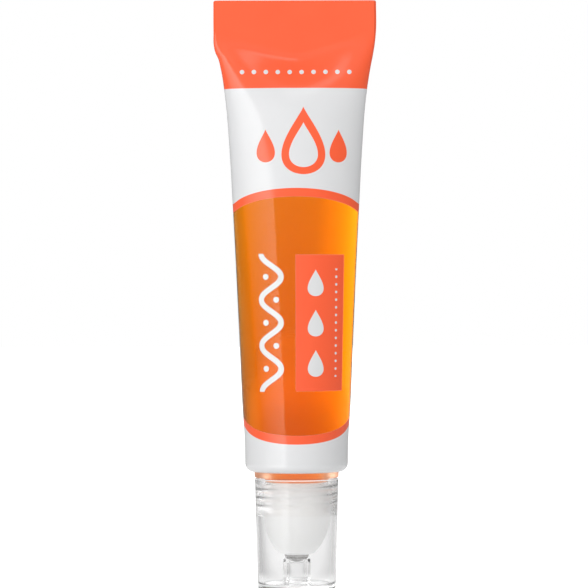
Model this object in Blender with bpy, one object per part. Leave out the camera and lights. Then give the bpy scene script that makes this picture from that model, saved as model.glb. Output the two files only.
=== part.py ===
"""Squeeze tube of cuticle oil with a roller-ball tip, standing on its clear screw cap.

+Z runs up from the cap's closed end to the crimp. The crimp runs along X, and the front looks along -Y.
Lengths are in metres. The tube's pieces are measured from the underside of its shoulder, and the roller's
pieces from the flat tip of its dome. A right-hand thread holds the cap on the neck.
"""

import math

import bmesh
import bpy
from mathutils import Vector

# Sleeve: an extruded tube, round at the shoulder and pressed flat at the crimp
tube_length = 0.0878
tube_radius = 0.0095
tube_wall = 0.00045
tube_corner_radius = 0.0016
tube_wrap_angle = math.radians(65)
crimp_height = 0.0073
crimp_spread = 0.00028
crimp_slit = 0.00005
crimp_corner_radius = 0.0008

# Head: the moulded shoulder and its threaded neck
collar_height = 0.0007
collar_chamfer = 0.0006
shoulder_thickness = 0.0013
shoulder_land = 0.00167
rim_height = 0.0013
rim_wall = 0.0005
neck_length = 0.0068
neck_wall = 0.00088
neck_chamfer = 0.0003
bore_chamfer = 0.0004

# Thread on the neck and in the cap
thread_pitch = 0.0015
thread_height = 0.00057
thread_start = 0.0007
thread_relief = 0.0016
thread_root = 0.00015
thread_base_share = 0.28
thread_crest_share = 0.08
thread_end_share = 0.12
thread_start_angle = math.radians(-67)
thread_taper_angle = math.radians(60)

# Cap: one clear moulding with a hollow post that presses on the ball
cap_wall = 0.00077
cap_floor = 0.00105
cap_draft = 0.00067
cap_edge_radius = 0.0005
cap_rim_radius = 0.0002
cap_floor_radius = 0.0004
post_length = 0.003876
post_bore_radius = 0.0015
post_wall = 0.0008
post_foot_radius = 0.0003
post_chamfer = 0.0002

# Roller: the housing pressed into the neck, and its ball
dome_length = 0.00745
nose_radius = 0.0012
lip_land = 0.0002
skirt_length = 0.005
skirt_wall = 0.0009
skirt_chamfer = 0.0003
feed_bore_radius = 0.001
seat_thickness = 0.0008
ball_radius = 0.0024
ball_inset = 0.0006

# How full of oil the sleeve is, as a share of its height below the crimp
fill_share = 0.739

# Clearances between the pieces
rest_gap = 0.0003
weld_gap = 0.00025
fit_gap = 0.00025
fill_gap = 0.00025
thread_play = 0.00025
cap_thread_gap = 0.00047
dome_gap = 0.00013
ball_gap = 0.0001
lip_gap = 0.00004
seal_gap = 0.0002
weld_distance = 0.000001

# How the sleeve flattens from its round end to the crimp: shares of the height, of the crimp's extra
# width, and of the round end's depth
flare_height_shares = (0.0, 0.06, 0.13, 0.27, 0.52, 0.78, 0.87, 0.94, 0.98, 1.0)
flare_width_shares = (0.0, 0.02, 0.09, 0.175, 0.33, 0.505, 0.62, 0.79, 0.93, 0.97)
flare_depth_shares = (1.0, 0.985, 0.94, 0.87, 0.76, 0.62, 0.5, 0.29, 0.095, 0.0)

# Fineness of the curved surfaces
turn_segments = 32
sleeve_segments = 44
oil_segments = 28
sleeve_rows = 15
arc_steps = 4
rim_steps = 2
side_steps = 7
ball_segments = 24
ball_rings = 12

# Sizes that follow from the ones above, in the tube's frame
quarter_turn = math.pi / 2
full_turn = math.pi * 2
corner_centre_radius = tube_radius - tube_corner_radius
corner_centre_height = collar_height + tube_corner_radius
collar_radius = corner_centre_radius + weld_gap
crimp_base_height = tube_length - crimp_height
crimp_half_width = tube_radius * quarter_turn + crimp_spread
rim_corner_radius = tube_corner_radius - tube_wall - weld_gap
rim_radius = tube_radius - tube_wall - weld_gap
rim_bore_radius = rim_radius - rim_wall
rim_top = corner_centre_height + rim_height
fill_height = crimp_base_height * fill_share
neck_radius = collar_radius - collar_chamfer - shoulder_land
neck_bore_radius = neck_radius - neck_wall
thread_crest_radius = neck_radius + thread_height
neck_thread_height = thread_start - neck_length

# Sizes of the roller that follow from the neck, the thread and the ball
dome_radius = neck_radius + cap_thread_gap - dome_gap
skirt_radius = neck_bore_radius - fit_gap
skirt_bore_radius = skirt_radius - skirt_wall
skirt_top = dome_length + skirt_length
lip_radius = math.sqrt((ball_radius + lip_gap) ** 2 - ball_inset ** 2)
socket_radius = ball_radius + ball_gap
socket_top = ball_inset + math.sqrt(socket_radius ** 2 - feed_bore_radius ** 2)
cavity_floor = socket_top + seat_thickness
cavity_side = cavity_floor + skirt_bore_radius - feed_bore_radius

# Heights in the world, stacked up from the cap's closed end at zero
post_radius = post_bore_radius + post_wall
post_top = cap_floor + post_length
ball_level = post_top + math.sqrt((ball_radius + seal_gap) ** 2 - post_bore_radius ** 2)
tip_level = ball_level - ball_inset
neck_end_level = tip_level + dome_length + rest_gap
shoulder_level = neck_end_level + neck_length
cap_length = shoulder_level - rest_gap
cap_thread_level = shoulder_level + neck_thread_height - thread_pitch / 2
thread_top_level = shoulder_level - thread_relief


def arc(centre, radius, start, end, steps=arc_steps):
    """Points on an arc about a centre (radius, height), from one angle to another."""
    turns = [start + (end - start) * step / steps for step in range(steps + 1)]
    return [(centre[0] + radius * math.cos(a), centre[1] + radius * math.sin(a)) for a in turns]


def plastic(name, colour, roughness, metallic=0.0, alpha=1.0, transmission=0.0):
    """Material of one piece."""
    material = bpy.data.materials.new(name)
    material.use_nodes = True
    shader = material.node_tree.nodes["Principled BSDF"]
    shader.inputs["Base Color"].default_value = (*colour, 1.0)
    shader.inputs["Roughness"].default_value = roughness
    shader.inputs["Metallic"].default_value = metallic
    shader.inputs["Alpha"].default_value = alpha
    shader.inputs["Transmission Weight"].default_value = transmission
    return material


def piece(name, shape, material, location=(0.0, 0.0, 0.0), parent=None):
    """Object made from a closed bmesh, with its faces turned outwards."""
    bmesh.ops.recalc_face_normals(shape, faces=shape.faces)
    mesh = bpy.data.meshes.new(name)
    shape.to_mesh(mesh)
    shape.free()
    mesh.shade_smooth()
    mesh.set_sharp_from_angle(angle=math.radians(35))
    mesh.materials.append(material)
    placed = bpy.data.objects.new(name, mesh)
    placed.location = location
    placed.parent = parent
    bpy.context.scene.collection.objects.link(placed)
    return placed


def unit(name, location, parent=None):
    """Empty that carries the pieces of one moving unit."""
    empty = bpy.data.objects.new(name, None)
    empty.location = location
    empty.parent = parent
    bpy.context.scene.collection.objects.link(empty)
    return empty


def turned(outline, ends_on_axis=False):
    """Solid turned about the Z axis from an outline of (radius, height) points."""
    shape = bmesh.new()
    corners = [shape.verts.new((radius, 0.0, height)) for radius, height in outline]
    followers = corners[1:] if ends_on_axis else corners[1:] + corners[:1]
    sides = [shape.edges.new(pair) for pair in zip(corners, followers)]
    bmesh.ops.spin(
        shape,
        geom=corners + sides,
        cent=(0.0, 0.0, 0.0),
        axis=(0.0, 0.0, 1.0),
        angle=full_turn,
        steps=turn_segments,
        use_merge=True,
    )
    bmesh.ops.remove_doubles(shape, verts=shape.verts, dist=weld_distance)
    return shape


def lofted(rings):
    """Solid whose side runs through rings of as many points each, closed by a flat face at each end."""
    shape = bmesh.new()
    loops = [[shape.verts.new(point) for point in ring] for ring in rings]
    for lower, upper in zip(loops, loops[1:]):
        for here in range(len(lower)):
            after = (here + 1) % len(lower)
            shape.faces.new((lower[here], lower[after], upper[after], upper[here]))
    shape.faces.new(loops[0])
    shape.faces.new(loops[-1])
    return shape


def helical_ridge(root_radius_at, crest_radius, start_height, end_height):
    """Thread's ridge: a trapezium swept up a right-hand helix, sinking into its wall at both ends."""
    outward = 1.0 if crest_radius > root_radius_at(start_height) else -1.0
    total_angle = (end_height - start_height) / thread_pitch * full_turn
    steps = round(total_angle / full_turn * turn_segments)
    base_half = thread_pitch * thread_base_share
    crest_half = thread_pitch * thread_crest_share
    rings = []
    for step in range(steps + 1):
        turned_by = total_angle * step / steps
        height = start_height + (end_height - start_height) * step / steps
        nearest_end = min(turned_by, total_angle - turned_by)
        rise_share = max(thread_end_share, min(1.0, nearest_end / thread_taper_angle))
        root = root_radius_at(height) - outward * thread_root
        crest = root + (crest_radius - root) * rise_share
        angle = thread_start_angle + turned_by
        section = ((root, -base_half), (crest, -crest_half), (crest, crest_half), (root, base_half))
        across = Vector((math.cos(angle), math.sin(angle), 0.0))
        rings.append([across * radius + Vector((0.0, 0.0, height + rise)) for radius, rise in section])
    return lofted(rings)


def add_thread(body, name, ridge):
    """Joins a thread's ridge to the body that carries it."""
    guide = piece(name, ridge, body.data.materials[0], body.location, body.parent)
    guide.hide_render = True
    guide.display_type = "WIRE"
    union = body.modifiers.new("thread", "BOOLEAN")
    union.operation = "UNION"
    union.solver = "EXACT"
    union.object = guide


def eased_share(share, knot_shares):
    """Smooth curve through a table of shares at a share of the sleeve's height: a cubic between knots."""
    heights = flare_height_shares
    here = next(knot for knot in range(len(heights) - 1) if share <= heights[knot + 1])

    def slope(knot):
        before = max(knot - 1, 0)
        after = min(knot + 1, len(heights) - 1)
        return (knot_shares[after] - knot_shares[before]) / (heights[after] - heights[before])

    span = heights[here + 1] - heights[here]
    start_slope = 0.0 if here == 0 else slope(here) * span
    end_slope = slope(here + 1) * span
    along = (share - heights[here]) / span
    eased = (3 - 2 * along) * along * along
    level = knot_shares[here] + eased * (knot_shares[here + 1] - knot_shares[here])
    return level + along * (1 - along) * ((1 - along) * start_slope - along * end_slope)


def inner_oval(height):
    """Half width and half depth of the sleeve's hollow at a height above the shoulder's underside."""
    share = (height - corner_centre_height) / (crimp_base_height - corner_centre_height)
    share = min(max(share, 0.0), 1.0)
    round_half = tube_radius - tube_wall
    flat_half = crimp_half_width - tube_wall
    half_width = round_half + (flat_half - round_half) * eased_share(share, flare_width_shares)
    half_depth = round_half * eased_share(share, flare_depth_shares)
    return half_width, max(half_depth, crimp_slit)


def oval_ring(half_width, half_depth, offset, height, segments):
    """Ring of points that runs at a distance outside an oval."""
    ring = []
    for step in range(segments):
        angle = full_turn * step / segments
        on_oval = Vector((half_width * math.cos(angle), half_depth * math.sin(angle), height))
        outward = Vector((half_depth * math.cos(angle), half_width * math.sin(angle), 0.0)).normalized()
        ring.append(on_oval + outward * offset)
    return ring


def round_rings(outline, segments):
    """Round rings through (radius, height) points."""
    return [oval_ring(radius, radius, 0.0, height, segments) for radius, height in outline]


def body_heights():
    """Heights of the sleeve's rows, closer together towards the crimp."""
    shares = [math.sin(quarter_turn * row / sleeve_rows) for row in range(1, sleeve_rows + 1)]
    return [corner_centre_height + (crimp_base_height - corner_centre_height) * share for share in shares]


def sleeve_shape():
    """The sleeve: down its hollow from inside the crimp to the wrapped end, and back up outside."""
    centre = (corner_centre_radius, corner_centre_height)
    inner_corner = arc(centre, tube_corner_radius - tube_wall, 0.0, -tube_wrap_angle)
    outer_corner = arc(centre, tube_corner_radius, -tube_wrap_angle, 0.0)
    corner = round_rings(inner_corner + outer_corner, sleeve_segments)
    inside = []
    outside = []
    for height in body_heights():
        inside.append(oval_ring(*inner_oval(height), 0.0, height, sleeve_segments))
        outside.append(oval_ring(*inner_oval(height), tube_wall, height, sleeve_segments))
    crimp = []
    crimp_corner = (crimp_half_width - crimp_corner_radius, tube_length - crimp_corner_radius)
    for half_width, height in arc(crimp_corner, crimp_corner_radius, 0.0, quarter_turn):
        crimp.append(oval_ring(half_width - tube_wall, crimp_slit, tube_wall, height, sleeve_segments))
    return lofted(inside[::-1] + corner + outside + crimp)


def neck_radius_at(height):
    """Radius of the neck's wall, the same at every height."""
    return neck_radius


def head_shape():
    """The head: out along the neck's end, up the neck, round the collar and back down the funnel and bore."""
    centre = (corner_centre_radius, corner_centre_height)
    collar_angle = math.acos(weld_gap / rim_corner_radius)
    outline = [
        (neck_bore_radius, -neck_length),
        (neck_radius - neck_chamfer, -neck_length),
        (neck_radius, neck_chamfer - neck_length),
        (neck_radius, 0.0),
        (collar_radius - collar_chamfer, 0.0),
        (collar_radius, collar_chamfer),
        *arc(centre, rim_corner_radius, -collar_angle, 0.0),
        (rim_radius, rim_top),
        (rim_bore_radius, rim_top),
        (rim_bore_radius, corner_centre_height),
        (neck_bore_radius + bore_chamfer, shoulder_thickness),
        (neck_bore_radius, shoulder_thickness - bore_chamfer),
    ]
    return turned(outline)


def housing_shape():
    """The housing, measured up from its flat tip: lip, nose, dome, skirt, hollow, feed bore and socket."""
    tip_radius = lip_radius + lip_land
    reach = dome_length - nose_radius
    inward = dome_radius - tip_radius
    side_radius = (inward ** 2 + reach ** 2 - nose_radius ** 2) / (2 * (inward - nose_radius))
    side_centre = (dome_radius - side_radius, dome_length)
    nose_angle = math.atan2(reach, tip_radius - side_centre[0])
    nose = arc((tip_radius, nose_radius), nose_radius, -quarter_turn, -nose_angle)
    side = arc(side_centre, side_radius, -nose_angle, 0.0, side_steps)
    socket_start = math.asin(ball_inset / socket_radius / 2)
    socket_end = math.acos(feed_bore_radius / socket_radius)
    socket = arc((0.0, ball_inset), socket_radius, socket_end, -socket_start, side_steps)
    outline = [
        (lip_radius, 0.0),
        *nose,
        *side[1:],
        (skirt_radius, dome_length),
        (skirt_radius, skirt_top - skirt_chamfer),
        (skirt_radius - skirt_chamfer, skirt_top),
        (skirt_bore_radius, skirt_top),
        (skirt_bore_radius, cavity_side),
        (feed_bore_radius, cavity_floor),
        *socket,
    ]
    return turned(outline)


def cap_bore_radius(height):
    """Radius of the cap's tapered hollow at a height above its closed end."""
    narrowest = thread_crest_radius + thread_play
    return narrowest + cap_draft * (height - neck_end_level) / cap_length


def cap_shape():
    """The cap: out along its closed end, up its side, over its rim, down the hollow and round the post."""
    foot_radius = cap_bore_radius(0.0) + cap_wall
    rim_outside = cap_bore_radius(cap_length) + cap_wall
    rim_inside = cap_bore_radius(cap_length)
    floor_side = cap_bore_radius(cap_floor)
    edge_centre = (foot_radius - cap_edge_radius, cap_edge_radius)
    outer_rim_centre = (rim_outside - cap_rim_radius, cap_length - cap_rim_radius)
    inner_rim_centre = (rim_inside + cap_rim_radius, cap_length - cap_rim_radius)
    floor_centre = (floor_side - cap_floor_radius, cap_floor + cap_floor_radius)
    post_foot_centre = (post_radius + post_foot_radius, cap_floor + post_foot_radius)
    outline = [
        (0.0, 0.0),
        *arc(edge_centre, cap_edge_radius, -quarter_turn, 0.0),
        *arc(outer_rim_centre, cap_rim_radius, 0.0, quarter_turn, rim_steps),
        *arc(inner_rim_centre, cap_rim_radius, quarter_turn, math.pi, rim_steps),
        *arc(floor_centre, cap_floor_radius, 0.0, -quarter_turn, rim_steps),
        *arc(post_foot_centre, post_foot_radius, -quarter_turn, -math.pi, rim_steps),
        (post_radius, post_top - post_chamfer),
        (post_radius - post_chamfer, post_top),
        (post_bore_radius, post_top),
        (post_bore_radius, cap_floor),
        (0.0, cap_floor),
    ]
    return turned(outline, ends_on_axis=True)


def oil_shape():
    """The oil: from the roller's skirt up the neck, over the shoulder's funnel and up to its level."""
    skirt_oil_radius = skirt_bore_radius - fill_gap
    neck_oil_radius = neck_bore_radius - fill_gap
    skirt_oil_base = tip_level - shoulder_level + cavity_side + fill_gap
    neck_oil_base = tip_level - shoulder_level + skirt_top + fill_gap
    outline = [
        (skirt_oil_radius, skirt_oil_base),
        (skirt_oil_radius, neck_oil_base),
        (neck_oil_radius, neck_oil_base),
        (neck_oil_radius, shoulder_thickness),
        (neck_bore_radius, shoulder_thickness + fill_gap),
        (rim_bore_radius - fill_gap, corner_centre_height + fill_gap),
        (rim_bore_radius - fill_gap, rim_top + fill_gap),
    ]
    heights = [rim_top + fill_gap]
    heights += [height for height in body_heights() if heights[0] < height < fill_height]
    heights += [fill_height]
    bulk = [oval_ring(*inner_oval(height), -fill_gap, height, oil_segments) for height in heights]
    return lofted(round_rings(outline, oil_segments) + bulk)


def build():
    """Makes each piece in its unit: the cap stands, the roller lifts and the tube turns as it lifts."""
    clear = plastic("clear_plastic", (0.93, 0.93, 0.93), 0.08, alpha=0.35, transmission=0.9)
    printed = plastic("printed_sleeve", (0.98, 0.3, 0.14), 0.3)
    white = plastic("white_plastic", (0.88, 0.88, 0.87), 0.4)
    steel = plastic("polished_steel", (0.7, 0.7, 0.72), 0.12, metallic=1.0)
    amber = plastic("amber_oil", (0.85, 0.33, 0.01), 0.05, alpha=0.9, transmission=0.6)

    roller_unit = unit("roller_unit", (0.0, 0.0, tip_level))
    tube_unit = unit("tube_unit", (0.0, 0.0, shoulder_level - tip_level), roller_unit)

    cap = piece("screw_cap", cap_shape(), clear)
    cap_crest_radius = neck_radius + cap_thread_gap
    cap_ridge = helical_ridge(cap_bore_radius, cap_crest_radius, cap_thread_level, thread_top_level)
    add_thread(cap, "cap_thread", cap_ridge)

    head = piece("tube_head", head_shape(), clear, parent=tube_unit)
    neck_ridge = helical_ridge(neck_radius_at, thread_crest_radius, neck_thread_height, -thread_relief)
    add_thread(head, "neck_thread", neck_ridge)

    piece("tube_sleeve", sleeve_shape(), printed, parent=tube_unit)
    piece("oil_fill", oil_shape(), amber, parent=tube_unit)
    piece("roller_housing", housing_shape(), white, parent=roller_unit)

    ball = bmesh.new()
    bmesh.ops.create_uvsphere(ball, u_segments=ball_segments, v_segments=ball_rings, radius=ball_radius)
    piece("roller_ball", ball, steel, (0.0, 0.0, ball_inset), roller_unit)


for leftover in list(bpy.data.objects):
    bpy.data.objects.remove(leftover, do_unlink=True)
build()
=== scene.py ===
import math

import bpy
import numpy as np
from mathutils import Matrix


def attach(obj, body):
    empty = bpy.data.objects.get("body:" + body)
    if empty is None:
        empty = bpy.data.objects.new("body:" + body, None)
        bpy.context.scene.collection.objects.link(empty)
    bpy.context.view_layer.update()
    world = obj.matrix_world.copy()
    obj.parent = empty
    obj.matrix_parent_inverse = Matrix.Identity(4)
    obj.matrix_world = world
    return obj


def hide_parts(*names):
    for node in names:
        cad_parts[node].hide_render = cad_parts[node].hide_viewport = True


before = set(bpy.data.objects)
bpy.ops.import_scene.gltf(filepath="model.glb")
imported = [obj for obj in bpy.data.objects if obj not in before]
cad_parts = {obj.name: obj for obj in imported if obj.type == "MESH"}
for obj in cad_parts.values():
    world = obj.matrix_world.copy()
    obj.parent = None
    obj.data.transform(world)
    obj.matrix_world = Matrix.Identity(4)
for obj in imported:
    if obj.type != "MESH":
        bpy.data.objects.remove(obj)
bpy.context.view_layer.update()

# A squeeze tube of cuticle oil stands on its clear screw cap, with the roller-ball tip inside the
# cap. The pieces are made in the order in which the object is put together. Lengths are in
# millimetres, as arrays of points, and become metres as they enter a mesh. X runs along the crimp,
# and the printed front looks along -Y.

# SLEEVE. An extruded tube of clear polyethylene, 0.45 mm thick, printed in coral and white with a
# window left clear. It is round where it wraps over the head's shoulder, and is pressed flat and
# welded into the crimp at its top, once the oil is in.

film_thickness = 0.45
corner_radius, corner_height, corner_bend = 7.9, 23.3, 1.6
crimp_top = 108.799
crimp_slit = 0.05
crimp_bend = 0.3

flat_heights = (23.3, 28.0, 33.5, 44.4, 64.0, 84.3, 91.3, 95.4, 98.2, 100.2, 101.8, 103.2)
hollow_depths = (9.05, 8.91, 8.51, 7.87, 6.88, 5.61, 4.5, 3.3, 2.1, 1.15, 0.42, crimp_slit)
left_heights = (
    23.3, 28.0, 33.5, 44.4, 57.7, 70.9, 81.3, 90.9, 96.4, 98.0, 99.2, 100.4, 103.0, 108.8)
left_widths = (
    9.5, 9.62, 9.98, 10.45, 11.04, 11.7, 12.26, 13.06, 13.9, 14.3, 14.85, 15.12, 15.18, 15.19)
right_heights = (23.3, 28.0, 33.5, 44.4, 57.7, 70.9, 81.3, 90.9, 96.4, 98.6, 100.8, 103.0, 108.8)
right_widths = (
    9.5, 9.62, 9.98, 10.45, 11.04, 11.7, 12.26, 13.03, 13.86, 14.3, 14.66, 14.88, 14.91)


def flowing(heights, knots, values):
    """Smooth curve through knots.

    Between two knots it is a cubic, and its slope at a knot is that of the parabola through the
    knot and its two neighbours."""
    knots, values = np.array(knots), np.array(values)
    slopes = np.gradient(values, knots)
    here = np.clip(np.searchsorted(knots, heights) - 1, 0, len(knots) - 2)
    span = knots[here + 1] - knots[here]
    along = np.clip((heights - knots[here]) / span, 0, 1)
    eased = along * along * (3 - 2 * along)
    level = values[here] + eased * (values[here + 1] - values[here])
    lean = (1 - along) * slopes[here] - along * slopes[here + 1]
    return level + along * (1 - along) * lean * span


def eased_step(value, start, end):
    """0 before start, 1 after end, and a smooth S between them."""
    share = np.clip((value - start) / (end - start), 0, 1)
    return share * share * (3 - 2 * share)


def round_angles(count):
    """Angles of a ring that starts at the back and runs by the left, the front and the right."""
    return math.pi / 2 + 2 * math.pi * np.arange(count) / count


def sleeve_rings(heights, angles, offset):
    """Rings of the sleeve: each is an oval of the hollow's width and depth, moved out by an offset.

    The hollow's depth is read a little further up towards the middles of the front and the back,
    so the flat of the crimp runs down there, and the film stays fuller below its two corners."""
    heights = np.asarray(heights, float)[:, None]
    left = flowing(heights, left_heights, left_widths) - film_thickness
    right = flowing(heights, right_heights, right_widths) - film_thickness
    width = np.where(np.cos(angles) < 0, left, right)
    dip = 4.2 * (1 - np.abs(np.cos(angles)) ** 1.3) * eased_step(heights, 86, 99)
    depth = flowing(np.minimum(heights + dip, flat_heights[-1]), flat_heights, hollow_depths)
    out_x, out_y = depth * np.cos(angles), width * np.sin(angles)
    length = np.hypot(out_x, out_y)
    x = width * np.cos(angles) + offset * out_x / length
    y = depth * np.sin(angles) + offset * out_y / length
    return np.stack([x, y, np.broadcast_to(heights, x.shape)], axis=2)


def turned_rings(profile, angles):
    """Rings round the Z axis through (radius, height) points."""
    profile = np.asarray(profile, float)
    radius, height = profile[:, :1], profile[:, 1:]
    x, y = radius * np.cos(angles), radius * np.sin(angles)
    return np.stack([x, y, np.broadcast_to(height, x.shape)], axis=2)


def bow(centre, radius, start, end, steps):
    """Points on an arc about a centre (radius, height), from one angle in degrees to another."""
    turns = np.radians(np.linspace(start, end, steps + 1))
    out, up = centre
    return np.stack([out + radius * np.cos(turns), up + radius * np.sin(turns)], axis=1)


def skin(name, rings, closed=False, chart=None):
    """Closed skin over rings of as many points each: quads between neighbours, round each ring.

    The profile's two ends are flat faces, or it is closed and the last ring joins the first. A
    chart holds each point's place on the flat film, with one more column than the rings, so that
    it has no seam. Where the quads' volume comes out below zero, the faces are turned outwards."""
    rows, around = rings.shape[:2]
    numbers = np.arange(rows * around).reshape(rows, around)
    here, after = np.arange(around), np.roll(np.arange(around), -1)
    lower = numbers if closed else numbers[:-1]
    upper = np.roll(numbers, -1, axis=0) if closed else numbers[1:]
    quads = np.stack([lower[:, here], lower[:, after], upper[:, after], upper[:, here]], axis=2)
    quads = quads.reshape(-1, 4)
    faces = quads.tolist()
    if not closed:
        faces += [numbers[0, ::-1].tolist(), numbers[-1].tolist()]
    points = rings.reshape(-1, 3)
    corners = points[quads]
    volume = np.einsum("ij,ij->", corners[:, 0], np.cross(corners[:, 1], corners[:, 2]))
    volume += np.einsum("ij,ij->", corners[:, 0], np.cross(corners[:, 2], corners[:, 3]))
    mesh = bpy.data.meshes.new(name)
    mesh.from_pydata(points * 0.001, [], faces)
    if chart is not None:
        below, above = chart[:-1], chart[1:]
        wrapped = np.stack([below[:, :-1], below[:, 1:], above[:, 1:], above[:, :-1]], axis=2)
        places = [wrapped.reshape(-1, 2), chart[0, -2::-1], chart[-1, :-1]]
        layer = mesh.uv_layers.new(name="film")
        layer.data.foreach_set("uv", np.concatenate(places).ravel())
    if volume < 0:
        mesh.flip_normals()
    mesh.shade_smooth()
    mesh.set_sharp_from_angle(angle=math.radians(40))
    made = bpy.data.objects.new(name, mesh)
    bpy.context.scene.collection.objects.link(made)
    return made


class Ink:
    """A socket of a material's nodes. Arithmetic on it adds Math nodes."""

    def __init__(self, tree, socket=None):
        self.tree = tree
        self.socket = socket

    def node(self, kind, settings, sockets, output=0):
        """Adds any other node: its settings first, then its sockets' values or links."""
        made = self.tree.nodes.new(kind)
        for name, value in settings.items():
            setattr(made, name, value)
        for name, value in sockets.items():
            if isinstance(value, Ink):
                self.tree.links.new(value.socket, made.inputs[name])
            else:
                made.inputs[name].default_value = value
        return Ink(self.tree, made.outputs[output] if made.outputs else None)

    def maths(self, operation, *values, clamp=False):
        """Adds a Math node, which works out an operation on sockets or numbers."""
        settings = {"operation": operation, "use_clamp": clamp}
        return self.node("ShaderNodeMath", settings, dict(enumerate(values)))

    def __add__(self, other):
        return self.maths("ADD", self, other)

    def __radd__(self, other):
        return self.maths("ADD", other, self)

    def __sub__(self, other):
        return self.maths("SUBTRACT", self, other)

    def __rsub__(self, other):
        return self.maths("SUBTRACT", other, self)

    def __mul__(self, other):
        return self.maths("MULTIPLY", self, other)

    def __rmul__(self, other):
        return self.maths("MULTIPLY", other, self)

    def __truediv__(self, other):
        return self.maths("DIVIDE", self, other)

    def __pow__(self, other):
        return self.maths("POWER", self, other)

    def __abs__(self):
        return self.maths("ABSOLUTE", self)

    def least(self, other):
        return self.maths("MINIMUM", self, other)

    def most(self, other):
        return self.maths("MAXIMUM", self, other)

    def sine(self):
        return self.maths("SINE", self)

    def cosine(self):
        return self.maths("COSINE", self)

    def to_and_fro(self, length):
        """Rises from 0 to a length and falls back to 0, over and over."""
        return self.maths("PINGPONG", self, length)

    def over(self, limit, soft=0.06):
        """1 where the value is over a limit, 0 where it is under, and soft across."""
        return self.maths("ADD", (self - limit) / soft, 0.5, clamp=True)

    def under(self, limit, soft=0.06):
        """1 where the value is under a limit, 0 where it is over, and soft across."""
        return 1 - self.over(limit, soft)


def empty_material(name):
    """New material without nodes, and the maker of its nodes."""
    material = bpy.data.materials.new(name)
    material.use_nodes = True
    material.node_tree.nodes.clear()
    return material, Ink(material.node_tree)


def measured_along(place, direction):
    """How far a place lies along a direction: their dot product."""
    settings = {"operation": "DOT_PRODUCT"}
    return place.node("ShaderNodeVectorMath", settings, {0: place, 1: direction}, "Value")


def blended(share, first, second):
    """Colour that goes from a first one, where the share is 0, to a second, where it is 1."""
    colours = {"Factor": share, 6: (*first, 1), 7: (*second, 1)}
    return share.node("ShaderNodeMix", {"data_type": "RGBA"}, colours, 2)


def speckle(ink, place, size, detail=2.0):
    """Noise from 0 to 1 with spots of about a size in millimetres."""
    sockets = {"Vector": place, "Scale": 1000 / size, "Detail": detail}
    return ink.node("ShaderNodeTexNoise", {}, sockets)


def dented(height, depth):
    """Normal of a surface whose relief is a height from 0 to 1 times a depth in millimetres."""
    sockets = {"Height": height, "Distance": depth / 1000, "Strength": 1.0}
    return height.node("ShaderNodeBump", {}, sockets)


# The rows crowd together towards the crimp, where the film bends most. The last four round the
# crimp's top edge: they draw in by 0.1 mm in depth and 0.3 mm across.
around_sleeve = round_angles(192)
front_column = len(around_sleeve) // 2
climb_share = np.sin(np.linspace(0, math.pi / 2, 116))[1:] ** 0.9
climb = corner_height + (flat_heights[-1] - corner_height) * climb_share
inner_corner = bow((corner_radius, corner_height), corner_bend - film_thickness, 0, -84, 12)
outer_corner = bow((corner_radius, corner_height), corner_bend, -84, 0, 12)
crimp_heights = np.linspace(flat_heights[-1], crimp_top - crimp_bend, 8)[1:]
sleeve_parts = [
    sleeve_rings(climb[::-1], around_sleeve, 0.0),
    turned_rings(inner_corner, around_sleeve),
    turned_rings(outer_corner, around_sleeve),
    sleeve_rings(climb, around_sleeve, film_thickness),
    sleeve_rings(crimp_heights, around_sleeve, film_thickness),
]
for turn in np.radians((25, 50, 70, 90)):
    drawn_in = 1 - math.cos(turn)
    edge_height = crimp_top - crimp_bend + crimp_bend * math.sin(turn)
    edge_ring = sleeve_rings([edge_height], around_sleeve, film_thickness - 0.1 * drawn_in)
    edge_ring[:, :, 0] -= crimp_bend * drawn_in * np.tanh(edge_ring[:, :, 0])
    sleeve_parts.append(edge_ring)
sleeve_points = np.concatenate(sleeve_parts)

# The chart is the film laid flat, with 0.5 across at the front's middle. The hollow's side carries
# no ink, so all of it takes one place in the clear window.
girth = 59.7
film_height = 110.0
bare_place = (0.35, 0.45)
closed_rings = np.concatenate([sleeve_points, sleeve_points[:, :1]], axis=1)
steps_round = np.linalg.norm(np.diff(closed_rings[:, :, :2], axis=1), axis=2)
run = np.concatenate([np.zeros((len(steps_round), 1)), np.cumsum(steps_round, axis=1)], axis=1)
from_front = run - run[:, front_column:front_column + 1]
film_chart = np.stack([0.5 + from_front / girth, closed_rings[:, :, 2] / film_height], axis=2)
film_chart[:len(climb) + len(inner_corner)] = bare_place

sleeve = skin("printed_tube_sleeve", sleeve_points, chart=film_chart)

sleeve_finish, ink = empty_material("printed_film")
chart_place = ink.node("ShaderNodeUVMap", {"uv_map": "film"}, {})
across = (measured_along(chart_place, (1, 0, 0)) - 0.5) * girth
up = measured_along(chart_place, (0, 1, 0)) * film_height

# The window's two edges are arches over the front and over the back. Aside is 0 at their middles
# and 1 at the tube's two sides.
aside = across.to_and_fro(girth / 4) / (girth / 4)
arch = 1 - aside * aside + 5 * (aside - 0.8).most(0.0) ** 2
behind = 0.5 - 0.5 * (across * (2 * math.pi / girth)).cosine()
window_top = 70.2 + (3.7 + 1.2 * behind) * arch
window_foot = 31.3 - (4.2 + 1.8 * behind) * arch
border = 1.55
in_border = up.under(window_top) * up.over(window_foot)
in_window = up.under(window_top - border) * up.over(window_foot + border)

print_middle = 49.25
from_middle = abs(up - print_middle)
in_panel = abs(across - 4.65).under(4.75) * from_middle.under(12.45)


def teardrop(across, up, foot, width, height):
    """1 inside a drop that stands on its foot.

    At a share t of its height, its half width is width * 1.425 * sqrt(t) * (1 - t) ** 1.25. The
    0.05 mm keeps the soft edge off the middle line above and below the drop."""
    share = ((up - foot) / height).most(0.0).least(1.0)
    half = width * 1.425 * share ** 0.5 * (1 - share) ** 1.25
    return (abs(across) + 0.05).under(half)


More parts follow.
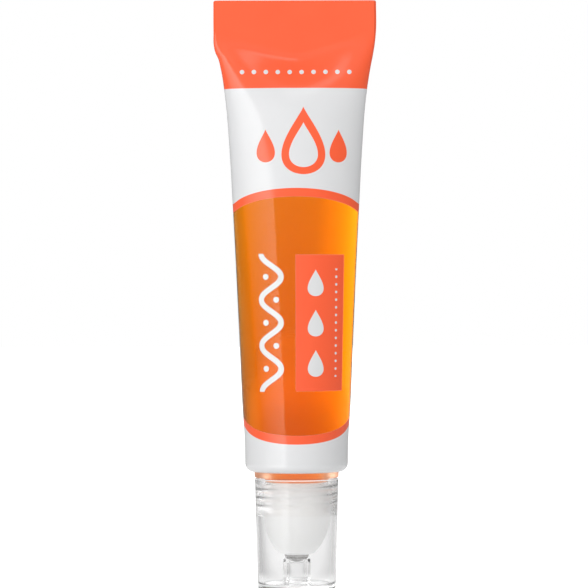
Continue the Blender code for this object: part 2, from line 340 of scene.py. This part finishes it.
def wave(across, up, middle, sway, period, half):
    """1 within half of a line that sways about a middle, as a cosine of the height.

    The distance from the line is its distance across times the cosine of the line's lean."""
    turn = (up - print_middle) * (2 * math.pi / period)
    lean = turn.sine() * (sway * 2 * math.pi / period)
    off = abs(across - middle - sway * turn.cosine()) / (lean * lean + 1) ** 0.5
    return off.under(half)


def beads(beside, on, line, first, pitch, radius):
    """1 inside round dots on a straight line, a pitch apart, with one at the first place on it."""
    off = (on - first).to_and_fro(pitch / 2)
    return ((beside - line) ** 2 + off * off).under(radius ** 2, radius * 0.12)


wave_period = 8.4
between = from_middle.under(12.0)
ribbon = wave(across, up, -4.7, 1.9, wave_period, 0.52) * from_middle.under(12.6)
ribbon = ribbon.most(beads(across, up, -3.7, 53.45, wave_period, 0.55) * between)
ribbon = ribbon.most(beads(across, up, -5.7, print_middle, wave_period, 0.55) * between)

in_trim = beads(across, up, 7.7, print_middle, 1.4, 0.24) * from_middle.under(9.9)
for foot in (39.4, 46.75, 54.1):
    in_trim = in_trim.most(teardrop(across - 3.6, up, foot, 3.1, 5.0))

big_hollow = teardrop(across - 1.4, up, 77.7, 5.4, 8.4)
big_drop = teardrop(across - 1.4, up, 76.4, 8.2, 12.6) * (1 - big_hollow)
left_drop = teardrop(across + 5.6, up, 78.6, 3.6, 6.2)
right_drop = teardrop(across - 8.0, up, 78.6, 3.6, 6.2)
in_drops = big_drop.most(left_drop).most(right_drop)
in_row = beads(up, across, 95.4, 1.1, 2.2, 0.42) * abs(across).under(11.6)

coral_foot = 92.35
coral = up.over(coral_foot).most(in_border * (1 - in_window)).most(in_drops).most(in_panel)
coral = coral * (1 - in_row) * (1 - in_trim * in_panel)
inked = 1 - in_window * (1 - in_panel) * (1 - ribbon)

object_place = ink.node("ShaderNodeTexCoord", {}, {}, "Object")
cloud = speckle(ink, object_place, 9.0)
grain = speckle(ink, object_place, 0.35, 3.0)
ripple = speckle(ink, object_place, 2.2)
white_ink = blended(cloud, (0.72, 0.725, 0.735), (0.755, 0.755, 0.76))
coral_ink = blended(cloud, (0.96, 0.115, 0.04), (0.99, 0.134, 0.05))
ink_colour = ink.node("ShaderNodeMix", {"data_type": "RGBA"}, {
    "Factor": coral, 6: white_ink, 7: coral_ink}, 2)
film_normal = dented(ripple * 0.8 + grain * 0.2, 0.012)
gloss = ink.node("ShaderNodeBsdfPrincipled", {}, {
    "Base Color": ink_colour, "Roughness": 0.16 + 0.06 * grain, "IOR": 1.48,
    "Normal": film_normal})
# The clear film turns deep amber towards the tube's two sides: painted shade that keeps the oil
# deep orange at its edges.
film_tint_painted_side_shade = blended(1 - arch, (0.985, 0.98, 0.95), (0.96, 0.42, 0.08))
clear_film = ink.node("ShaderNodeBsdfPrincipled", {}, {
    "Base Color": film_tint_painted_side_shade, "Roughness": 0.04 + 0.04 * grain, "IOR": 1.2,
    "Transmission Weight": 1.0, "Coat Weight": 0.12, "Coat Roughness": 0.03,
    "Normal": film_normal})
both = ink.node("ShaderNodeMixShader", {}, {0: inked, 1: clear_film, 2: gloss})
ink.node("ShaderNodeOutputMaterial", {}, {"Surface": both})
sleeve.data.materials.append(sleeve_finish)
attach(sleeve, "tube")
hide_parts("tube_sleeve")

# HEAD. A clear polypropylene moulding: the shoulder, whose collar the sleeve's end is welded over,
# and the neck with its right-hand thread. The oil shows through it as an amber ring above the cap,
# which a painted glow brightens.

shoulder = 20.6
neck_end = 14.2
neck_radius = 5.88
neck_bore = 5.0
thread_pitch = 1.5
thread_turn = math.radians(-67)


def ridge_share(angles, heights, start, end):
    """How far a right-hand thread's ridge stands out, from 0 to 1, at each height and angle.

    The nearest turn's middle is a pitch a turn up the helix from its start. The ridge is a rounded
    step of the distance from it, and it fades over a sixth of a turn at both ends."""
    turns = (heights - start) / thread_pitch - (angles - thread_turn) / (2 * math.pi)
    off = (turns - np.round(turns)) * thread_pitch
    risen = (heights - off - start) / thread_pitch
    whole = (end - start) / thread_pitch
    fade = eased_step(risen, 0.0, 1 / 6) * eased_step(whole - risen, 0.0, 1 / 6)
    return (1 - eased_step(np.abs(off), 0.06, 0.58)) * fade


def with_thread(rings, angles, first, count, start, end, crest):
    """Moves the points of some rings towards a crest radius, where the thread's ridge stands."""
    part = rings[first:first + count]
    radius = np.hypot(part[:, :, 0], part[:, :, 1])
    share = ridge_share(angles[None, :], part[:, :, 2], start, end)
    part[:, :, :2] *= ((radius + (crest - radius) * share) / radius)[:, :, None]


around_head = round_angles(160)
neck_rows = np.linspace(neck_end + 0.3, 20.2, 110)
neck_wall = np.stack([np.full_like(neck_rows, neck_radius), neck_rows], axis=1)
below_wall = np.concatenate([
    [(neck_bore, neck_end), (neck_radius - 0.3, neck_end)],
    bow((neck_radius - 0.3, neck_end + 0.3), 0.3, -90, 0, 4)[1:-1],
])
head_profile = np.concatenate([
    below_wall,
    neck_wall,
    [(neck_radius, shoulder - 0.2)],
    bow((neck_radius + 0.2, shoulder - 0.2), 0.2, 180, 90, 3)[1:],
    [(7.45, shoulder), (7.65, shoulder + 0.06), (7.74, shoulder + 0.2), (7.78, 21.8), (7.82, 22.2)],
    bow((corner_radius, corner_height), 0.9, -82, 0, 8),
    [(8.8, 24.5), (8.72, 24.6), (8.38, 24.6), (8.3, 24.5), (8.3, 23.3)],
    [(7.6, 22.92), (5.4, 22.3), (5.12, 22.14), (neck_bore, 21.9)],
    [(neck_bore, height) for height in np.linspace(21.0, 15.0, 7)],
])
head_points = turned_rings(head_profile, around_head)
with_thread(head_points, around_head, len(below_wall), len(neck_wall), 14.9, 19.4, 6.16)
head = skin("clear_threaded_head", head_points, closed=True)

# The neck is clear, and from its top up the moulding takes the amber of the oil behind it.
head_finish, ink = empty_material("clear_moulding_with_oil")
object_place = ink.node("ShaderNodeTexCoord", {}, {}, "Object")
haze = speckle(ink, object_place, 1.4)
level = measured_along(object_place, (0, 0, 1000))
in_collar = level.over(19.7, 0.2)
neck_colour = blended(level.over(19.75, 0.2), (0.975, 0.97, 0.965), (0.8, 0.3, 0.12))
head_colour = ink.node("ShaderNodeMix", {"data_type": "RGBA"}, {
    "Factor": level.over(20.5, 0.15), 6: neck_colour, 7: (0.87, 0.59, 0.43, 1)}, 2)
# The moulding glows faintly, grey on the neck and amber on the collar: painted light that lightens
# the thread's dark lines and brightens the amber ring.
painted_neck_and_ring_glow = blended(in_collar, (0.2, 0.2, 0.2), (0.5, 0.23, 0.12))
oily_plastic = ink.node("ShaderNodeBsdfPrincipled", {}, {
    "Base Color": head_colour, "Roughness": 0.22 + 0.05 * haze + 0.2 * in_collar, "IOR": 1.25,
    "Transmission Weight": 1.0, "Normal": dented(haze, 0.006),
    "Emission Color": painted_neck_and_ring_glow, "Emission Strength": 0.22})
ink.node("ShaderNodeOutputMaterial", {}, {"Surface": oily_plastic})
head.data.materials.append(head_finish)
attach(head, "tube")
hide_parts("tube_head")

# ROLLER HOUSING. A white polypropylene plug, turned to a blunt dome. Its skirt is pressed into the
# neck, and its lip is snapped over the ball, which oil reaches through a 2 mm bore.

tip = 6.45
dome_base = 13.9
dome_radius = 6.22
nose_bend = 1.2
ball_level = 7.05
socket_radius = 2.5
socket_foot = 0.3
lip_radius = 2.3643
feed_radius = 1.0

# The dome's nose and side are two arcs that meet without a corner, because their centres are as
# far apart as their radii differ.
tip_radius = lip_radius + 0.2
side_reach = dome_base - tip - nose_bend
side_inward = dome_radius - tip_radius
side_bend = (side_inward ** 2 + side_reach ** 2 - nose_bend ** 2) / (2 * (side_inward - nose_bend))
nose_turn = math.degrees(math.atan2(side_reach, tip_radius - (dome_radius - side_bend)))
socket_low = math.degrees(math.asin(socket_foot / socket_radius))
socket_high = math.degrees(math.acos(feed_radius / socket_radius))
housing_profile = np.concatenate([
    [(lip_radius, tip)],
    bow((tip_radius, tip + nose_bend), nose_bend, -90, -nose_turn, 10),
    bow((dome_radius - side_bend, dome_base), side_bend, -nose_turn, 0, 24)[1:],
    [(4.75, dome_base), (4.75, 20.1), (4.45, 20.4), (3.85, 20.4), (3.85, 13.1)],
    [(feed_radius, 10.2)],
    bow((0.0, ball_level), socket_radius, socket_high, -socket_low, 14),
])
housing_points = turned_rings(housing_profile, round_angles(128))
housing = skin("white_roller_housing", housing_points, closed=True)

white_finish, ink = empty_material("white_satin_moulding")
object_place = ink.node("ShaderNodeTexCoord", {}, {}, "Object")
mottle = speckle(ink, object_place, 3.0)
pores = speckle(ink, object_place, 0.12, 3.0)
housing_white = blended(mottle, (0.86, 0.86, 0.85), (0.90, 0.90, 0.895))
# The white also glows faintly: painted light that brightens the dome seen through the clear cap.
satin = ink.node("ShaderNodeBsdfPrincipled", {}, {
    "Base Color": housing_white, "Roughness": 0.34 + 0.1 * pores, "IOR": 1.49,
    "Subsurface Weight": 0.15, "Subsurface Radius": (0.001, 0.001, 0.0009),
    "Subsurface Scale": 1.0, "Emission Color": housing_white, "Emission Strength": 0.22,
    "Normal": dented(pores, 0.002)})
ink.node("ShaderNodeOutputMaterial", {}, {"Surface": satin})
housing.data.materials.append(white_finish)
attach(housing, "roller")
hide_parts("roller_housing")

# BALL. A polished stainless steel ball, 4.8 mm across, held by the housing's lip. It rolls the oil
# onto the skin.

ball_arc = bow((0.0, ball_level), 2.4, -89.6, 89.6, 48)
ball = skin("steel_roller_ball", turned_rings(ball_arc, round_angles(96)))

steel_finish, ink = empty_material("polished_steel")
object_place = ink.node("ShaderNodeTexCoord", {}, {}, "Object")
scuffs = ink.node("ShaderNodeTexNoise", {}, {
    "Vector": object_place, "Scale": 1800, "Detail": 4, "Distortion": 2.0})
steel_colour = blended(scuffs, (0.40, 0.395, 0.39), (0.50, 0.49, 0.48))
steel = ink.node("ShaderNodeBsdfPrincipled", {}, {
    "Base Color": steel_colour, "Metallic": 1.0, "Roughness": 0.06 + 0.08 * scuffs})
ink.node("ShaderNodeOutputMaterial", {}, {"Surface": steel})
ball.data.materials.append(steel_finish)
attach(ball, "ball")
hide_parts("roller_ball")

# CAP. One clear polystyrene moulding, closed at the end that the tube stands on. Its thread meets
# the neck's, and the stepped end of a short hollow post on its floor seals the ball.

rim_height = 20.22
rim_bend = 0.2


def cap_bore(height):
    """Radius of the cap's hollow: 6.7 mm at the neck's end, and 0.67 mm more 20.7 mm above it."""
    return 6.70 + 0.67 * (height - neck_end) / 20.7


around_cap = round_angles(160)
cap_outside = np.linspace(7.18, 7.7, 12)
bore_rows = np.linspace(rim_height, 13.4, 130)
bore_wall = np.stack([cap_bore(bore_rows), bore_rows], axis=1)
cap_outer = np.concatenate([
    [(0.02, 0.01), (3.0, 0.01)],
    bow((6.86, 0.31), 0.3, -90, 0, 6),
    np.stack([cap_outside, np.linspace(0.6, rim_height, 12)], axis=1)[1:],
    bow((7.5, rim_height), rim_bend, 0, 90, 4)[1:],
    bow((7.105, rim_height), rim_bend, 90, 180, 4)[:-1],
])
post_outer = [(2.5, 3.0), (2.5, 5.45), (2.45, 5.57), (2.35, 5.6), (2.24, 5.57), (2.2, 5.45)]
post_inner = [(2.2, 4.98), (2.14, 4.9), (1.56, 4.9), (1.5, 4.84), (1.5, 3.0), (1.5, 1.2)]
cap_profile = np.concatenate([
    cap_outer,
    bore_wall,
    [(cap_bore(height), height) for height in (11.0, 8.0, 5.0, 3.0)],
    bow((cap_bore(1.45) - 0.4, 1.45), 0.4, 0, -90, 5),
    bow((2.8, 1.35), 0.3, -90, -180, 4),
    post_outer,
    post_inner,
    bow((1.35, 1.2), 0.15, 0, -90, 3)[1:],
    [(0.02, 1.05)],
])
cap_points = turned_rings(cap_profile, around_cap)
with_thread(cap_points, around_cap, len(cap_outer), len(bore_wall), 14.15, 19.4, 6.64)
cap = skin("clear_screw_cap", cap_points)

# The thread and the rim are a little rougher than the walls, and the rim glows white: a painted
# highlight along its edge.
clear_finish, ink = empty_material("clear_moulding")
object_place = ink.node("ShaderNodeTexCoord", {}, {}, "Object")
haze = speckle(ink, object_place, 1.4)
flat_place = ink.node("ShaderNodeVectorMath", {"operation": "MULTIPLY"}, {
    0: object_place, 1: (1000, 1000, 0)})
radius = ink.node("ShaderNodeVectorMath", {"operation": "LENGTH"}, {0: flat_place}, "Value")
level = measured_along(object_place, (0, 0, 1000))
on_rim = level.over(rim_height, 0.06)
on_thread = radius.under(7.2, 0.1) * level.over(13.6, 0.4) * level.under(19.6, 0.2)
rough = on_thread.most(on_rim)
clear_plastic = ink.node("ShaderNodeBsdfPrincipled", {}, {
    "Base Color": (0.98, 0.98, 0.98, 1), "Roughness": 0.03 + 0.04 * haze + 0.34 * rough,
    "IOR": 1.38, "Transmission Weight": 1.0, "Normal": dented(haze, 0.006),
    "Emission Color": blended(on_rim, (0, 0, 0), (1, 1, 1)), "Emission Strength": 0.3})
ink.node("ShaderNodeOutputMaterial", {}, {"Surface": clear_plastic})
cap.data.materials.append(clear_finish)
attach(cap, "cap")
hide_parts("screw_cap")

# OIL. Amber oil fills the tube from the roller's hollow skirt, up the neck, to a level behind the
# upper print. It wets the film all round, and its surface curls up a little at the edge.

around_oil = round_angles(160)
oil_level = 80.4
oil_climb = np.linspace(25.0, oil_level - 0.3, 60)
oil_in_neck = [(0.05, 13.24), (3.2, 13.24), (3.6, 13.24), (3.6, 20.6), (4.94, 20.6), (4.94, 21.9)]
oil_in_head = [(5.1, 22.3), (5.4, 22.45), (7.5, 23.06), (8.05, 23.5), (8.05, 24.85), (8.75, 24.85)]
oil_points = np.concatenate([
    turned_rings(oil_in_neck, around_oil),
    turned_rings(oil_in_head, around_oil),
    sleeve_rings(oil_climb, around_oil, 0.38),
    sleeve_rings([oil_level], around_oil, -0.3),
    sleeve_rings([oil_level], around_oil, -3.5),
])
oil = skin("amber_oil_fill", oil_points)

oil_finish, ink = empty_material("amber_oil")
liquid = ink.node("ShaderNodeBsdfPrincipled", {}, {
    "Base Color": (1, 1, 1, 1), "Roughness": 0.0, "IOR": 1.12, "Transmission Weight": 1.0})
amber = ink.node("ShaderNodeVolumeAbsorption", {}, {
    "Color": (0.98, 0.88, 0.0, 1), "Density": 1000.0})
ink.node("ShaderNodeOutputMaterial", {}, {"Surface": liquid, "Volume": amber})
oil.data.materials.append(oil_finish)
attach(oil, "tube")
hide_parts("oil_fill")

# STUDIO. A pale glowing floor in a white room. A softbox on the left, brightest at its edge near
# the camera, draws the long highlight. The other cards give soft fill from the front and above,
# and light the oil from behind.

tube_middle = np.array([0.0, 0.0, 0.055])


def ray_is(ink, kind):
    """1 for rays of a kind, such as Camera or Transmission, and 0 for others."""
    return ink.node("ShaderNodeLightPath", {}, {}, f"Is {kind} Ray")


def glow_card(name, azimuth, elevation, distance, size, strength, lights,
              fade=0.0, curve=1.0, gleam=0.0, lean=0.0):
    """Flat card that faces the tube's middle. Azimuth 0 is the camera's and 90 is on its left.

    It lights only the kinds of ray that are named. From the edge at the smaller azimuth to the
    other one, its strength falls by a fade, a share, or rises if the fade is below 0, as a power
    of the way across. Mirror rays see it stronger by a gleam, a share too. A lean in degrees
    turns its upper part towards larger azimuths."""
    width, height = size
    azimuth, elevation, lean = math.radians(azimuth), math.radians(elevation), math.radians(lean)
    level_out = math.cos(elevation)
    toward = np.array([
        -math.sin(azimuth) * level_out, -math.cos(azimuth) * level_out, math.sin(elevation)])
    side = np.array([-math.cos(azimuth), math.sin(azimuth), 0.0])
    rise = np.cross(side, toward)
    leaning, upright = math.sin(lean), math.cos(lean)
    side, rise = side * upright - rise * leaning, rise * upright + side * leaning
    centre = tube_middle + toward * distance
    half_side, half_rise = side * width / 2, rise * height / 2
    quarters = ((-1, -1), (1, -1), (1, 1), (-1, 1))
    corners = [tuple(centre + half_side * a + half_rise * b) for a, b in quarters]
    mesh = bpy.data.meshes.new(name)
    mesh.from_pydata(corners, [], [(0, 1, 2, 3)])
    card = bpy.data.objects.new(name, mesh)
    bpy.context.scene.collection.objects.link(card)
    card.visible_camera = False
    card.visible_diffuse = "diffuse" in lights
    card.visible_glossy = "glossy" in lights
    card.visible_transmission = "through" in lights
    finish, ink = empty_material(name)
    place = ink.node("ShaderNodeTexCoord", {}, {}, "Object")
    share = (measured_along(place, tuple(side)) - float(centre @ side)) / width + 0.5
    mirrored = ray_is(ink, "Glossy") * ray_is(ink, "Reflection")
    glow = strength * (1 - fade * share ** curve) * (1 + gleam * mirrored)
    light = ink.node("ShaderNodeEmission", {}, {"Strength": glow})
    ink.node("ShaderNodeOutputMaterial", {}, {"Surface": light})
    mesh.materials.append(finish)


glow_card("softbox_left", 53, 0, 0.9, (0.92, 1.3), 3.35, "diffuse glossy through",
          fade=0.97, gleam=0.35, lean=31)
glow_card("card_above_front", -5, 45, 1.1, (1.6, 0.8), 2.1, "diffuse through")
glow_card("card_front", -7, 0, 1.1, (1.43, 1.6), 0.2, "glossy", fade=-3.0)
glow_card("card_high_right", -17, 50, 1.1, (0.55, 0.22), 2.4, "diffuse glossy through")
glow_card("card_back_left", 151, 0, 1.1, (1.1, 1.2), 3.0, "through", fade=0.61, curve=3.0)
glow_card("card_back_right", -152.7, 0, 1.1, (0.75, 1.2), 1.12, "through", fade=0.85, curve=0.5)
glow_card("card_right_fill", -146, 0, 1.1, (1.05, 1.2), 0.9, "diffuse", fade=0.2)
glow_card("backdrop", 180, 0, 1.8, (0.8, 1.6), 1.12, "diffuse through")
glow_card("card_behind", 180, 35, 1.1, (1.2, 0.7), 2.4, "diffuse")

# The floor glows by how far away and on which side of the cap a point is. Mirror rays see a bright
# pool on the left and less beyond it. Rays through the tube see it darker on both sides nearby,
# lighter far on the left, and darker far on the right.
floor_mesh = bpy.data.meshes.new("floor")
reach = 2.5
floor_corners = [(-reach, -reach, 0), (reach, -reach, 0), (reach, reach, 0), (-reach, reach, 0)]
floor_mesh.from_pydata(floor_corners, [], [(0, 1, 2, 3)])
floor = bpy.data.objects.new("floor", floor_mesh)
bpy.context.scene.collection.objects.link(floor)
floor_finish, ink = empty_material("pale_floor")
seen = ray_is(ink, "Camera")
through = ray_is(ink, "Transmission")
mirrored = ray_is(ink, "Glossy") * ray_is(ink, "Reflection")
floor_place = ink.node("ShaderNodeTexCoord", {}, {}, "Object")
away = ink.node("ShaderNodeVectorMath", {"operation": "LENGTH"}, {0: floor_place}, "Value")
left = measured_along(floor_place, (-0.92, 0.39, 0))
near = measured_along(floor_place, (0.17, -0.98, 0))
far_left = measured_along(floor_place, (-1, 0.25, 0))
rightward = measured_along(floor_place, (1, 0, 0))
under = away.under(0.02, 0.02)
within_reach = away.under(0.4, 0.1)
far_glow = away.over(0.5, 0.5) * far_left.over(0.0, 0.3)
pool = mirrored * left.over(0.0, 0.01) * (near / away).most(0.0) * away.over(0.04, 0.02)
dimmed = 0.55 + 0.4 * far_glow * (rightward / away).under(-0.45, 0.2)
beyond = 0.5 * rightward.under(-0.12, 0.2) - 0.35 * rightward.over(0.2, 0.2)
dusk = (abs(rightward) / away).over(0.32, 0.3) * (0.24 + 0.13 * far_left.over(0.0, 0.01))
glow = 0.68 + 0.4 * far_glow + 0.3 * seen + 0.06 * under
glow = glow + 4.0 * pool * within_reach - mirrored * away.over(0.15, 0.06) * dimmed
glow = glow + through * away.over(0.5, 0.4) * beyond
glow = glow - through * away.over(0.02, 0.02) * within_reach * dusk
pale = ink.node("ShaderNodeBsdfPrincipled", {}, {
    "Base Color": (0.25, 0.25, 0.25, 1), "Roughness": 0.7,
    "Emission Color": (1, 1, 1, 1), "Emission Strength": glow})
ink.node("ShaderNodeOutputMaterial", {}, {"Surface": pale})
floor_mesh.materials.append(floor_finish)

world = bpy.data.worlds.new("studio")
world.use_nodes = True
world.node_tree.nodes.clear()
ink = Ink(world.node_tree)
brightness = 0.22 + 0.78 * ray_is(ink, "Camera") + 0.55 * ray_is(ink, "Transmission")
room = ink.node("ShaderNodeBackground", {}, {"Color": (1, 1, 1, 1), "Strength": brightness})
ink.node("ShaderNodeOutputWorld", {}, {"Surface": room})
bpy.context.scene.world = world

# The camera stands level with the tube's middle, 0.55 m in front, as in the photo.
camera = bpy.data.objects.new("camera", bpy.data.cameras.new("camera"))
bpy.context.scene.collection.objects.link(camera)
camera.data.sensor_width = 36.0
camera.data.lens = 182.0
camera.location = (-0.0004, -0.55, 0.0545)
camera.rotation_euler = (math.radians(90), math.radians(0.14), 0)
bpy.context.scene.camera = camera
bpy.context.scene.view_settings.view_transform = "Standard"
